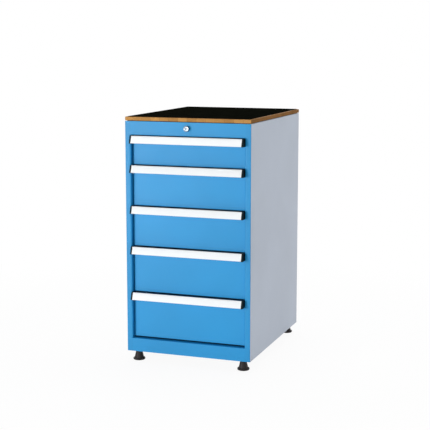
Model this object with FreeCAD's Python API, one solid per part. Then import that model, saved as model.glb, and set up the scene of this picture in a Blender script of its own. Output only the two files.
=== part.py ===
import FreeCAD, Part
import math
import os

# A cabinet with five drawers on levelling feet, with a wooden worktop, a rubber mat and a lock
# that holds all the drawers. Sizes are in millimetres. X runs to the right, Y to the back, Z up.
# The origin is on the floor, under the middle of the whole cabinet with its handles.

Vector = FreeCAD.Vector

# ---- Driving dimensions ------------------------------------------------------------------------

# Body
body_width = 560.0
body_depth = 725.0
body_height = 1000.0
panel_sheet = 1.5
base_sheet = 2.0
bend_radius = 1.0
corner_radius = 0.7
side_return = 20.0
side_lip = 16.0

# Front frame
post_width = 24.5
post_depth = 40.0
post_lip = 14.0
top_rail_height = 58.5
bottom_rail_height = 57.5
rail_return_depth = 30.0
rail_edge_return = 20.0

# Worktop
board_thickness = 18.0
board_chamfer = 1.0
shadow_gap = 2.5
shadow_gap_depth = 8.0
mat_thickness = 2.0
mat_inset = 8.5
mat_edge_radius = 1.0
screw_shank_radius = 2.2
screw_head_radius = 4.2
screw_head_height = 2.6
screw_depth = 12.0
screw_inset_x = 60.0
screw_inset_y = 70.0
screw_hole_clearance = 0.05

# Drawers, from the top one down: each one's share of the opening's height
drawer_shares = (5, 7, 7, 8, 8)
top_pitch_offset = 3.0
bottom_gap = 6.0
front_side_gap = 4.5
front_bottom_gap = 1.5
front_top_gap = 8.0
front_recess = 17.0
front_depth = 18.0
front_sheet = 1.5
front_edge_radius = 1.2
front_lip = 14.0
tray_sheet = 1.2
rear_space = 82.0
tray_lift = 8.0
tray_headroom = 40.0
tray_rim = 8.0

# Handles
handle_top_reach = 15.0
handle_reach = 26.0
handle_top_rise = 0.5
handle_drop = 30.0
handle_wall = 3.2
handle_lip = 5.0
label_recess = 1.2
label_edge = 1.5
handle_web = 2.0
handle_flange = 2.0
handle_flange_drop = 31.5
handle_edge_radius = 0.5
handle_cap_gap = 2.5
cap_thickness = 7.0
cap_margin = 0.5
cap_radius = 2.0

# Telescopic slides
slide_sheet = 1.5
slide_height = 42.0
slide_flange = 8.0
slide_play = 0.6
slide_side_clearance = 0.7
cabinet_slide_gap = 1.0
slide_thickness = 11.3
slide_rise = 26.0
slide_setback = 45.0
upright_width = 40.0
upright_gap = 2.0
upright_rear_inset = 5.0
upright_sheet = 1.5

# Levelling feet
foot_height = 44.0
foot_radius = 26.0
foot_flange_height = 9.0
foot_flange_radius = 3.5
foot_cone_base_radius = 20.5
foot_cone_top_radius = 12.0
foot_sole_radius = 24.0
foot_inset_x = 40.0
foot_inset_y = 33.0
foot_seat_gap = 0.3
stud_radius = 5.0
stud_socket_depth = 22.0
stud_rise = 32.0
stud_fit = 0.05
stud_hole_clearance = 0.6
insert_radius = 11.0
insert_height = 20.0

# Lock
lock_drop = 26.0
lock_flange_radius = 12.0
lock_flange_height = 11.0
lock_flange_edge = 0.8
lock_body_radius = 9.0
lock_body_length = 28.0
lock_body_clearance = 0.1
lock_plug_radius = 6.5
lock_plug_proud = 0.8
lock_plug_length = 41.0
lock_running_fit = 0.05
keyway_width = 2.0
keyway_height = 9.0
keyway_depth = 9.0
lock_nut_flats = 26.0
lock_nut_height = 5.0
shaft_radius = 4.0
crank_throw = 8.0
crank_disc_margin = 3.5
crank_disc_thickness = 5.0
crank_disc_gap = 2.0
crank_pin_radius = 2.0
crank_pin_proud = 2.0
crank_slot_clearance = 0.6
bar_width = 30.0
bar_thickness = 3.0
bar_setback = 21.5
bar_floor_gap = 10.0
bar_above_shaft = 12.0
guide_clearance = 0.4
guide_wall = 2.0
guide_height = 30.0
bearing_thickness = 4.0
bearing_width = 30.0
bearing_drop = 12.0
catch_rise = 45.0
catch_width = 20.0
catch_thickness = 2.0
catch_reach = 18.0
striker_radius = 2.0
striker_length = 12.0
striker_edge = 0.5
hook_gap = 1.0
hook_width = 14.0
hook_plate = 3.0
hook_pin_radius = 2.0
hook_pin_height = 12.0
hook_drop = 2.0

# ---- Places that follow from the driving dimensions --------------------------------------------

half_width = body_width / 2
front = handle_reach - (body_depth + handle_reach) / 2
back = front + body_depth
body_bottom = foot_height
body_top = body_bottom + body_height
side_inner = half_width - panel_sheet
back_inner = back - 2 * panel_sheet
base_bottom = body_bottom + panel_sheet
base_top = base_bottom + base_sheet
top_panel_bottom = body_top - panel_sheet

post_inner = half_width - post_width
opening_top = body_top - top_rail_height
opening_bottom = body_bottom + bottom_rail_height
drawer_space = opening_top - opening_bottom - top_pitch_offset - bottom_gap
drawer_pitches = [drawer_space * share / sum(drawer_shares) for share in drawer_shares]
first_pitch_line = opening_top - top_pitch_offset
pitch_lines = [first_pitch_line - sum(drawer_pitches[:count]) for count in range(len(drawer_pitches) + 1)]

drawer_face = front + front_recess
front_half_width = post_inner - front_side_gap
tray_front = drawer_face + front_depth
tray_back = back_inner - rear_space

middle_outer = post_inner - slide_side_clearance
tray_half_width = middle_outer - slide_thickness
cabinet_slide_outer = post_inner + cabinet_slide_gap + slide_sheet
slide_front = front + slide_setback
middle_slide_height = slide_height - 2 * (slide_sheet + slide_play)
runner_height = middle_slide_height - 2 * (slide_sheet + slide_play)

foot_x = half_width - foot_inset_x
foot_front_y = front + foot_inset_y
foot_back_y = back - foot_inset_y
foot_places = {
    "front_left": (-foot_x, foot_front_y),
    "front_right": (foot_x, foot_front_y),
    "back_left": (-foot_x, foot_back_y),
    "back_right": (foot_x, foot_back_y),
}

lock_z = body_top - lock_drop
bar_front = tray_back + bar_setback
bar_back = bar_front + bar_thickness
crank_angle = math.radians(45.0)
crank_pin_x = -crank_throw * math.cos(crank_angle)
crank_pin_z = lock_z - crank_throw * math.sin(crank_angle)
crank_disc_back = bar_front - crank_disc_gap

handle_half_length = post_inner - handle_cap_gap - cap_thickness
screw_places = [(sx * (half_width - screw_inset_x), y) for sx in (-1, 1)
                for y in (front + screw_inset_y, (front + back) / 2, back - screw_inset_y)]


# ---- Shape helpers -----------------------------------------------------------------------------

def box(x0, x1, y0, y1, z0, z1):
    """A block between two corners."""
    return Part.makeBox(x1 - x0, y1 - y0, z1 - z0, Vector(x0, y0, z0))


def rod(radius, start, end):
    """A round bar from one point to another."""
    axis = Vector(*end) - Vector(*start)
    return Part.makeCylinder(radius, axis.Length, Vector(*start), axis)


def ring(outer, inner, start, end):
    """A round tube from one point to another."""
    return rod(outer, start, end).cut(rod(inner, start, end))


def in_plan(x, y):
    return Vector(x, y, 0)


def in_side_view(y, z):
    return Vector(0, y, z)


def rounded_corner(before, corner, after, radius):
    """The two tangent points and the middle point of an arc that rounds a corner."""
    incoming = (corner - before).normalize()
    outgoing = (after - corner).normalize()
    turn = incoming.getAngle(outgoing)
    reach = radius * math.tan(turn / 2)
    start = corner - incoming * reach
    end = corner + outgoing * reach
    inward = (outgoing - incoming).normalize()
    middle = corner + inward * (radius / math.cos(turn / 2) - radius)
    return start, middle, end


def outline_edges(points, place):
    """Straight edges and arcs of a closed outline. A point is (a, b) or (a, b, corner radius)."""
    corners = [place(point[0], point[1]) for point in points]
    ends = []
    for index, point in enumerate(points):
        corner = corners[index]
        if len(point) == 3 and point[2] > 0:
            after = corners[(index + 1) % len(points)]
            ends.append(rounded_corner(corners[index - 1], corner, after, point[2]))
        else:
            ends.append((corner, None, corner))
    edges = []
    for index, (start, middle, end) in enumerate(ends):
        if middle is not None:
            edges.append(Part.Arc(start, middle, end).toShape())
        following = ends[(index + 1) % len(ends)][0]
        if (following - end).Length > 1e-6:
            edges.append(Part.makeLine(end, following))
    return edges


def extrusion(points, place, start, length):
    """A closed outline, moved to start and drawn out along length."""
    face = Part.Face(Part.Wire(Part.__sortEdges__(outline_edges(points, place))))
    face.translate(Vector(*start))
    return face.extrude(Vector(*length))


def mirrored(shape):
    """The same piece on the cabinet's other side."""
    return shape.mirror(Vector(0, 0, 0), Vector(1, 0, 0))


def both_sides(shape):
    """A piece and its mirror image, as separate solids."""
    return Part.makeCompound([mirrored(shape), shape])


def merged(first, *others):
    """Solids that touch, welded into one."""
    return first.fuse(list(others)).removeSplitter()


# ---- Body --------------------------------------------------------------------------------------

def front_post():
    """The right post: a plate as high as the body, folded back along the drawer opening."""
    lip_end = post_inner + post_lip
    fold_back = front + post_depth
    outer_bend = bend_radius + panel_sheet
    folded = [
        (half_width, front + panel_sheet),
        (half_width, front, corner_radius),
        (post_inner, front, outer_bend),
        (post_inner, fold_back, outer_bend),
        (lip_end, fold_back),
        (lip_end, fold_back - panel_sheet),
        (post_inner + panel_sheet, fold_back - panel_sheet, bend_radius),
        (post_inner + panel_sheet, front + panel_sheet, bend_radius),
    ]
    plate = [
        (half_width, front + panel_sheet),
        (half_width, front, corner_radius),
        (post_inner, front),
        (post_inner, front + panel_sheet),
    ]
    opening = extrusion(folded, in_plan, (0, 0, opening_bottom), (0, 0, opening_top - opening_bottom))
    below = extrusion(plate, in_plan, (0, 0, body_bottom), (0, 0, opening_bottom - body_bottom))
    above = extrusion(plate, in_plan, (0, 0, opening_top), (0, 0, body_top - opening_top))
    return merged(opening, below, above)


def rail(opening_edge, outer_edge, inward):
    """A rail between the posts, folded back at the opening and at its outer edge.

    inward is 1 for a rail whose sheet lies above the opening's edge, and -1 for one below it.
    """
    fold_back = front + rail_return_depth
    outer_bend = bend_radius + panel_sheet
    inner_z = opening_edge + inward * panel_sheet
    section = [
        (front, outer_edge),
        (front, opening_edge, outer_bend),
        (fold_back, opening_edge),
        (fold_back, inner_z),
        (front + panel_sheet, inner_z, bend_radius),
        (front + panel_sheet, outer_edge),
    ]
    plate = extrusion(section, in_side_view, (-post_inner, 0, 0), (2 * post_inner, 0, 0))
    edge_z = sorted((outer_edge, outer_edge - inward * panel_sheet))
    edge_fold = box(-post_inner, post_inner, front + panel_sheet, front + rail_edge_return, *edge_z)
    return merged(plate, edge_fold)


def top_rail():
    """The rail above the drawers, with the lock's hole."""
    hole = rod(lock_body_radius + lock_body_clearance, (0, front - 1, lock_z), (0, front + panel_sheet + 1, lock_z))
    return rail(opening_top, body_top, 1).cut(hole)


def bottom_rail():
    """The rail below the drawers."""
    return rail(opening_bottom, body_bottom, -1)


def side_panel():
    """The right side: one sheet with a narrow lip behind the post and a folded edge at the back."""
    lip_front = front + panel_sheet
    outer_bend = bend_radius + panel_sheet
    plan = [
        (half_width - side_lip, lip_front),
        (half_width, lip_front),
        (half_width, back, outer_bend),
        (half_width - side_return, back),
        (half_width - side_return, back - panel_sheet),
        (side_inner, back - panel_sheet, bend_radius),
        (side_inner, lip_front + panel_sheet),
        (half_width - side_lip, lip_front + panel_sheet),
    ]
    return extrusion(plan, in_plan, (0, 0, body_bottom), (0, 0, body_height))


def back_panel():
    """The back sheet, inside the side panels' folded edges."""
    half = side_inner - bend_radius
    return box(-half, half, back_inner, back - panel_sheet, body_bottom, body_top)


def base_panel():
    """The floor sheet, with a hole for each foot's stud."""
    sheet = box(-side_inner, side_inner, front + 2 * panel_sheet, back_inner, base_bottom, base_top)
    radius = stud_radius + stud_hole_clearance
    holes = [rod(radius, (x, y, base_bottom - 1), (x, y, base_top + 1)) for x, y in foot_places.values()]
    return sheet.cut(holes)


def top_panel():
    """The sheet under the worktop, with its screw holes."""
    sheet = box(-side_inner, side_inner, front + rail_edge_return, back_inner, top_panel_bottom, body_top)
    radius = screw_shank_radius + screw_hole_clearance
    holes = [rod(radius, (x, y, top_panel_bottom - 1), (x, y, body_top + 1)) for x, y in screw_places]
    return sheet.cut(holes)


def slide_uprights():
    """Four channels between floor and top sheet that carry the cabinet's slides."""
    inner = cabinet_slide_outer
    pieces = []
    first_front = front + post_depth + upright_gap
    rear_front = tray_back - upright_rear_inset - upright_width
    for y0 in (first_front, rear_front):
        y1 = y0 + upright_width
        section = [
            (side_inner, y0),
            (inner, y0, bend_radius + upright_sheet),
            (inner, y1, bend_radius + upright_sheet),
            (side_inner, y1),
            (side_inner, y1 - upright_sheet),
            (inner + upright_sheet, y1 - upright_sheet, bend_radius),
            (inner + upright_sheet, y0 + upright_sheet, bend_radius),
            (side_inner, y0 + upright_sheet),
        ]
        channel = extrusion(section, in_plan, (0, 0, base_top), (0, 0, top_panel_bottom - base_top))
        pieces += [mirrored(channel), channel]
    return Part.makeCompound(pieces)


# ---- Worktop -----------------------------------------------------------------------------------

def worktop_board():
    """The wooden board, with its edges broken, a shadow gap round its foot and the screws' pilot holes."""
    gap_top = body_top + shadow_gap
    board = box(-half_width, half_width, front, back, gap_top, body_top + board_thickness)
    board = board.makeChamfer(board_chamfer, board.Edges)
    foot = box(-half_width + shadow_gap_depth, half_width - shadow_gap_depth, front + shadow_gap_depth,
               back - shadow_gap_depth, body_top, gap_top + board_chamfer)
    board = merged(board, foot)
    radius = screw_shank_radius + screw_hole_clearance
    holes = [rod(radius, (x, y, body_top - 1), (x, y, body_top + screw_depth + 1)) for x, y in screw_places]
    return board.cut(holes)


def rubber_mat():
    """The mat on the board."""
    bottom = body_top + board_thickness
    mat = box(-half_width + mat_inset, half_width - mat_inset, front + mat_inset, back - mat_inset,
              bottom, bottom + mat_thickness)
    upper_edges = [edge for edge in mat.Edges if edge.BoundBox.ZMin > bottom + mat_thickness / 2]
    return mat.makeFillet(mat_edge_radius, upper_edges)


def worktop_screws():
    """Screws from under the top sheet up into the board."""
    screws = []
    for x, y in screw_places:
        head = Part.makeCone(screw_head_radius * 0.7, screw_head_radius, screw_head_height,
                             Vector(x, y, top_panel_bottom - screw_head_height))
        shank = rod(screw_shank_radius, (x, y, top_panel_bottom), (x, y, body_top + screw_depth))
        screws.append(merged(head, shank))
    return Part.makeCompound(screws)


# ---- Levelling feet ----------------------------------------------------------------------------

def foot_pad(x, y):
    """A cone that spreads into a rounded flange, with a socket for the stud."""
    top = base_bottom - foot_seat_gap
    profile = [
        (0, 0),
        (foot_sole_radius, 0),
        (foot_radius, foot_radius - foot_sole_radius, foot_flange_radius / 2),
        (foot_radius, foot_flange_height, foot_flange_radius),
        (foot_cone_base_radius, foot_flange_height),
        (foot_cone_top_radius, top, 1.0),
        (0, top),
    ]
    edges = outline_edges(profile, lambda radius, z: Vector(radius, 0, z))
    section = Part.Face(Part.Wire(Part.__sortEdges__(edges)))
    pad = section.revolve(Vector(0, 0, 0), Vector(0, 0, 1), 360)
    pad.translate(Vector(x, y, 0))
    socket = rod(stud_radius + stud_fit, (x, y, top - stud_socket_depth), (x, y, top + 1))
    return pad.cut(socket)


def foot_stud(x, y):
    """The threaded stud, from its socket in the pad up into the insert."""
    bottom = base_bottom - foot_seat_gap - stud_socket_depth
    stud = rod(stud_radius, (x, y, bottom), (x, y, base_top + stud_rise))
    top_edges = [edge for edge in stud.Edges if edge.BoundBox.ZMin > base_top]
    return stud.makeChamfer(1.0, top_edges)


def foot_inserts():
    """Threaded inserts on the floor sheet, one above each foot."""
    pieces = [ring(insert_radius, stud_radius + stud_fit, (x, y, base_top), (x, y, base_top + insert_height))
              for x, y in foot_places.values()]
    return Part.makeCompound(pieces)


# ---- Telescopic slides -------------------------------------------------------------------------

def slide_channel(web_face, tip, height, centre_z, y0, y1):
    """A channel along Y: its web's outer face at web_face, its flanges out to tip."""
    inward = math.copysign(1, tip - web_face)
    web_inside = web_face + inward * slide_sheet
    z0 = centre_z - height / 2
    z1 = centre_z + height / 2
    section = [
        (tip, z0),
        (web_face, z0, bend_radius + slide_sheet),
        (web_face, z1, bend_radius + slide_sheet),
        (tip, z1),
        (tip, z1 - slide_sheet),
        (web_inside, z1 - slide_sheet, bend_radius),
        (web_inside, z0 + slide_sheet, bend_radius),
        (tip, z0 + slide_sheet),
    ]
    return extrusion(section, lambda x, z: Vector(x, 0, z), (0, y0, 0), (0, y1 - y0, 0))


def slide_centre(number):
    """The height of a drawer's slides."""
    return pitch_lines[number] + tray_lift + slide_rise


def cabinet_slides():
    """The fixed members of all the drawers' slides, screwed to the uprights."""
    pieces = []
    for number in range(1, len(drawer_pitches) + 1):
        member = slide_channel(cabinet_slide_outer, cabinet_slide_outer - slide_flange, slide_height,
                               slide_centre(number), slide_front, tray_back)
        pieces += [mirrored(member), member]
    return Part.makeCompound(pieces)


def middle_slides(number):
    """A drawer's two middle members."""
    member = slide_channel(middle_outer, middle_outer - slide_flange, middle_slide_height,
                           slide_centre(number), slide_front, tray_back)
    return both_sides(member)


def drawer_runners(number):
    """A drawer's two runners, with the catch and its striker at the back."""
    runner = slide_channel(tray_half_width, tray_half_width + slide_flange, runner_height,
                           slide_centre(number), slide_front, tray_back)
    top = catch_top(number)
    catch = box(-catch_width / 2, catch_width / 2, tray_back, tray_back + catch_reach, top - catch_thickness, top)
    y = striker_y()
    striker = rod(striker_radius, (0, y, top - catch_thickness - striker_length), (0, y, top - catch_thickness))
    return Part.makeCompound([mirrored(runner), runner, catch, striker])


# ---- Drawers -----------------------------------------------------------------------------------

def tray_bottom(number):
    return pitch_lines[number] + tray_lift


def tray_height(number):
    return drawer_pitches[number - 1] - tray_headroom


def drawer_tray(number):
    """An open box of folded sheet, with a rim turned in round its top."""
    z0 = tray_bottom(number)
    z1 = z0 + tray_height(number)
    outer = box(-tray_half_width, tray_half_width, tray_front, tray_back, z0, z1)
    inside = box(-tray_half_width + tray_sheet, tray_half_width - tray_sheet, tray_front + tray_sheet,
                 tray_back - tray_sheet, z0 + tray_sheet, z1 - tray_sheet)
    mouth = box(-tray_half_width + tray_rim, tray_half_width - tray_rim, tray_front + tray_rim,
                tray_back - tray_rim, z1 - 2 * tray_sheet, z1 + 1)
    return outer.cut([inside, mouth])


def drawer_front(number):
    """A shallow pan with its edges turned back and in, and its face to the front."""
    z0 = pitch_lines[number] + front_bottom_gap
    z1 = pitch_lines[number - 1] - front_top_gap
    shell = box(-front_half_width, front_half_width, drawer_face, tray_front, z0, z1)
    face_edges = [edge for edge in shell.Edges if edge.BoundBox.YMax < drawer_face + front_depth / 2]
    shell = shell.makeFillet(front_edge_radius, face_edges)
    inside = box(-front_half_width + front_sheet, front_half_width - front_sheet, drawer_face + front_sheet,
                 tray_front - front_sheet, z0 + front_sheet, z1 - front_sheet)
    window = box(-front_half_width + front_lip, front_half_width - front_lip, tray_front - 2 * front_sheet,
                 tray_front + 1, z0 + front_lip, z1 - front_lip)
    return shell.cut([inside, window])


def face_point(along, depth):
    """A point of the handle's slanting face: along it from its top edge, and depth behind it.

    The result is (how far in front of the frame, how high above the drawer's upper pitch line).
    """
    run = handle_reach - handle_top_reach
    fall = handle_drop + handle_top_rise
    length = math.hypot(run, fall)
    reach = handle_top_reach + (along * run - depth * fall) / length
    height = handle_top_rise - (along * fall + depth * run) / length
    return reach, height


def face_point_at(height, depth):
    """The point behind the face by depth that has the given height."""
    run = handle_reach - handle_top_reach
    fall = handle_drop + handle_top_rise
    along = ((handle_top_rise - height) * math.hypot(run, fall) - depth * run) / fall
    return face_point(along, depth)


def handle_section():
    """The handle's section: a slanting face with a label channel, on a flange and a web."""
    length = math.hypot(handle_reach - handle_top_reach, handle_drop + handle_top_rise)
    web_top = -front_top_gap
    web_bottom = web_top - handle_web
    flange_face = handle_flange - front_recess
    edge = handle_edge_radius
    return [
        (*face_point(0, 0), edge),
        face_point(handle_lip, 0),
        face_point(handle_lip, label_recess),
        face_point(length - label_edge, label_recess),
        face_point(length - label_edge, 0),
        (*face_point(length, 0), edge),
        (*face_point(length, handle_wall), edge),
        (*face_point_at(web_bottom, handle_wall), 1.0),
        (flange_face, web_bottom, 1.0),
        (flange_face, -handle_flange_drop, edge),
        (-front_recess, -handle_flange_drop),
        (-front_recess, web_top),
        face_point_at(web_top, handle_wall),
        (*face_point(0, handle_wall), edge),
    ]


def drawer_handle(number):
    """The extruded handle across the top of a drawer front."""
    line = pitch_lines[number - 1]
    return extrusion(handle_section(), lambda reach, height: Vector(0, front - reach, line + height),
                     (-handle_half_length, 0, 0), (2 * handle_half_length, 0, 0))


def drawer_end_caps(number):
    """Plastic caps that close both ends of the handle."""
    line = pitch_lines[number - 1]
    top_reach, top_rise = handle_top_reach, handle_top_rise + cap_margin
    bottom = -handle_flange_drop - cap_margin
    section = [
        (-front_recess, bottom),
        (-front_recess, -front_top_gap + cap_margin),
        (-front_recess / 4, top_rise, cap_radius),
        (top_reach, top_rise, cap_radius / 2),
        (handle_reach, -handle_drop, cap_radius / 2),
        (handle_reach - cap_radius, bottom, cap_radius / 2),
    ]
    cap = extrusion(section, lambda reach, height: Vector(0, front - reach, line + height),
                    (handle_half_length, 0, 0), (cap_thickness, 0, 0))
    return both_sides(cap)


# ---- Lock --------------------------------------------------------------------------------------

def lock_housing():
    """The lock's round case with its front flange, fixed in the top rail."""
    flange_front = front - lock_flange_height
    flange = rod(lock_flange_radius, (0, flange_front, lock_z), (0, front, lock_z))
    rim = [edge for edge in flange.Edges if edge.BoundBox.YMax < front - lock_flange_height / 2]
    flange = flange.makeFillet(lock_flange_edge, rim)
    body = rod(lock_body_radius, (0, front, lock_z), (0, front + lock_body_length, lock_z))
    bore_start = (0, flange_front - 1, lock_z)
    bore = rod(lock_plug_radius + lock_running_fit, bore_start, (0, front + lock_body_length + 1, lock_z))
    return merged(flange, body).cut(bore)


def lock_nut():
    """The hexagon nut that clamps the case to the top rail from behind."""
    y0 = front + panel_sheet
    corner = lock_nut_flats / math.sqrt(3)
    corners = [(corner * math.cos(math.radians(60 * k)), lock_z + corner * math.sin(math.radians(60 * k)))
               for k in range(6)]
    hexagon = extrusion(corners, lambda x, z: Vector(x, 0, z), (0, y0, 0), (0, lock_nut_height, 0))
    return hexagon.cut(rod(lock_body_radius + lock_body_clearance, (0, y0 - 1, lock_z),
                           (0, y0 + lock_nut_height + 1, lock_z)))


def lock_plug():
    """The part of the lock that the key turns, with its keyway."""
    start = front - lock_flange_height - lock_plug_proud
    plug = rod(lock_plug_radius, (0, start, lock_z), (0, start + lock_plug_length, lock_z))
    keyway = box(-keyway_width / 2, keyway_width / 2, start - 1, start + keyway_depth,
                 lock_z - keyway_height / 2, lock_z + keyway_height / 2)
    return plug.cut(keyway)


def lock_shaft():
    """The rod from the plug to the back, with a crank disc and its pin."""
    start = front - lock_flange_height - lock_plug_proud + lock_plug_length
    disc_front = crank_disc_back - crank_disc_thickness
    shaft = rod(shaft_radius, (0, start, lock_z), (0, disc_front, lock_z))
    disc = rod(crank_throw + crank_disc_margin, (0, disc_front, lock_z), (0, crank_disc_back, lock_z))
    pin = rod(crank_pin_radius, (crank_pin_x, crank_disc_back, crank_pin_z),
              (crank_pin_x, bar_back + crank_pin_proud, crank_pin_z))
    return merged(shaft, disc, pin)


def lock_bar():
    """The upright bar that the crank pin lifts, with a slot for the pin."""
    bottom = base_top + bar_floor_gap
    bar = box(-bar_width / 2, bar_width / 2, bar_front, bar_back, bottom, lock_z + bar_above_shaft)
    reach = crank_pin_radius + crank_slot_clearance
    slot = [
        (-crank_throw - reach, crank_pin_z - reach, reach * 0.95),
        (crank_pin_x + reach, crank_pin_z - reach, reach * 0.95),
        (crank_pin_x + reach, crank_pin_z + reach, reach * 0.95),
        (-crank_throw - reach, crank_pin_z + reach, reach * 0.95),
    ]
    cutter = extrusion(slot, lambda x, z: Vector(x, 0, z), (0, bar_front - 1, 0), (0, bar_thickness + 2, 0))
    return bar.cut(cutter)


def catch_top(number):
    """The height of a drawer's catch."""
    return tray_bottom(number) + catch_rise


def striker_y():
    """How far back the drawers' strikers stand."""
    return tray_back + catch_reach - striker_radius - striker_edge


def lock_hooks():
    """A plate and an upright pin on the bar for each drawer's striker."""
    pin_y = striker_y() - striker_radius - hook_gap - hook_pin_radius
    pieces = []
    for number in range(1, len(drawer_pitches) + 1):
        pin_top = catch_top(number) - catch_thickness - striker_length - hook_drop
        plate_top = pin_top - hook_pin_height
        pieces.append(box(-hook_width / 2, hook_width / 2, pin_y - hook_pin_radius - striker_edge, bar_front,
                          plate_top - hook_plate, plate_top))
        pieces.append(rod(hook_pin_radius, (0, pin_y, plate_top), (0, pin_y, pin_top)))
    return Part.makeCompound(pieces)


def lock_guides():
    """Brackets on the back panel that guide the bar, and the bearing for the shaft."""
    clear_x = bar_width / 2 + guide_clearance
    outer_x = clear_x + guide_wall
    cell_front = bar_front - guide_clearance
    cell_back = bar_back + guide_clearance
    pieces = []
    for upper, lower in ((0, 1), (2, 3), (4, 5)):
        hooked = catch_top(lower) if upper == 0 else (catch_top(upper) + catch_top(lower)) / 2
        z0 = hooked + guide_height if upper == 0 else hooked - guide_height
        z1 = z0 + guide_height
        bracket = box(-outer_x, outer_x, cell_front - guide_wall, back_inner, z0, z1)
        bar_cell = box(-clear_x, clear_x, cell_front, cell_back, z0 - 1, z1 + 1)
        rear_cell = box(-clear_x, clear_x, cell_back + guide_wall, back_inner - guide_wall, z0 - 1, z1 + 1)
        pieces.append(bracket.cut([bar_cell, rear_cell]))
    bearing = box(-bearing_width / 2, bearing_width / 2, tray_back - bearing_thickness, tray_back,
                  lock_z - bearing_drop, top_panel_bottom)
    bore = rod(shaft_radius + lock_running_fit, (0, tray_back - bearing_thickness - 1, lock_z),
               (0, tray_back + 1, lock_z))
    pieces.append(bearing.cut(bore))
    return Part.makeCompound(pieces)


# ---- Nodes -------------------------------------------------------------------------------------

def cabinet_nodes():
    """Every piece that stands still, by name."""
    post, side = front_post(), side_panel()
    return {
        "front_post_left": mirrored(post),
        "front_post_right": post,
        "top_rail": top_rail(),
        "bottom_rail": bottom_rail(),
        "side_panel_left": mirrored(side),
        "side_panel_right": side,
        "back_panel": back_panel(),
        "base_panel": base_panel(),
        "top_panel": top_panel(),
        "slide_uprights": slide_uprights(),
        "cabinet_slides": cabinet_slides(),
        "worktop_board": worktop_board(),
        "rubber_mat": rubber_mat(),
        "worktop_screws": worktop_screws(),
        "foot_inserts": foot_inserts(),
        "lock_housing": lock_housing(),
        "lock_nut": lock_nut(),
        "lock_guides": lock_guides(),
    }


def lock_nodes():
    """The lock's moving pieces, by name."""
    return {
        "lock_plug": lock_plug(),
        "lock_shaft": lock_shaft(),
        "lock_bar": lock_bar(),
        "lock_hooks": lock_hooks(),
    }


def foot_nodes():
    """The levelling feet, by name."""
    nodes = {}
    for place, (x, y) in foot_places.items():
        nodes["foot_" + place + "_pad"] = foot_pad(x, y)
        nodes["foot_" + place + "_stud"] = foot_stud(x, y)
    return nodes


def drawer_nodes():
    """Each drawer's pieces and its slides' middle members, by name."""
    nodes = {}
    for number in range(1, len(drawer_pitches) + 1):
        name = "drawer_" + str(number)
        nodes[name + "_tray"] = drawer_tray(number)
        nodes[name + "_front"] = drawer_front(number)
        nodes[name + "_handle"] = drawer_handle(number)
        nodes[name + "_end_caps"] = drawer_end_caps(number)
        nodes[name + "_runners"] = drawer_runners(number)
        nodes["middle_slides_" + str(number)] = middle_slides(number)
    return nodes


def write_nodes():
    """Write one STEP file for each node."""
    os.makedirs("parts", exist_ok=True)
    nodes = {**cabinet_nodes(), **lock_nodes(), **foot_nodes(), **drawer_nodes()}
    for name, shape in nodes.items():
        shape.exportStep("parts/" + name + ".step")
        print(name, len(shape.Solids), "solids", round(shape.Volume), "mm3", "valid" if shape.isValid() else "INVALID")
    print(len(nodes), "nodes")


write_nodes()
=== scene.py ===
"""Dresses a five-drawer cabinet: painted sheet metal, wooden worktop, rubber mat, handles, lock and feet.

Lengths are in metres. X runs to the right, Y to the back and Z up, from the floor under the middle.
"""
import logging
import math
from dataclasses import dataclass
from enum import Enum
from functools import lru_cache
from typing import Any, Optional, Sequence, Union

import bmesh
import bpy
import numpy as np
from bpy.types import Material, NodeSocket, Object, World
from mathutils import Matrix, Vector


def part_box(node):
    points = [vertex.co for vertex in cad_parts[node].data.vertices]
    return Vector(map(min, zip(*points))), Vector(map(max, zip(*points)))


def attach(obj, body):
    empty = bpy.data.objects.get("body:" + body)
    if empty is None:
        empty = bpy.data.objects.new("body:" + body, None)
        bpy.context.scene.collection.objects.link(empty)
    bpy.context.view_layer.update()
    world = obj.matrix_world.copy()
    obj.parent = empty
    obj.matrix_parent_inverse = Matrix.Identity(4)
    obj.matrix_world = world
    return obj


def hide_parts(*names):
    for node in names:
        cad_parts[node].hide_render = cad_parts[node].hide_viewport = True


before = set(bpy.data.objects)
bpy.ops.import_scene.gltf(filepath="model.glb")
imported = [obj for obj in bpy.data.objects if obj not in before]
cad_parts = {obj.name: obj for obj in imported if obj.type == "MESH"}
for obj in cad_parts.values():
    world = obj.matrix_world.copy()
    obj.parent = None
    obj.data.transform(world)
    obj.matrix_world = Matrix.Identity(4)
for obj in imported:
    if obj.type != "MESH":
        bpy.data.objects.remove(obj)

LOG = logging.getLogger("cabinet")
SEAT = 0.0002  # how deep a fitted piece sinks into what carries it
POLE = 0.0002  # the radius of the flat on top of a dome
DOME_STEPS = 6
DRAWERS = range(1, 6)
Colour = tuple[float, float, float]
Point = tuple[float, float, float]
Span = tuple[float, float]
Number = Union["Value", float]
WHITE: Colour = (1.0, 1.0, 1.0)


def rgb(red: int, green: int, blue: int) -> Colour:
    """A colour's linear values from its usual ones of 0 to 255: ((c + 0.055) / 1.055) to the power of 2.4."""
    shares = [c / 255 for c in (red, green, blue)]
    return tuple(s / 12.92 if s <= 0.04045 else ((s + 0.055) / 1.055) ** 2.4 for s in shares)


def toned(colour: Colour, factor: float) -> Colour:
    """A lighter or darker colour: each part times the factor, and 1 at most."""
    return tuple(min(c * factor, 1.0) for c in colour)


# ---- Shader maths ----

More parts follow.
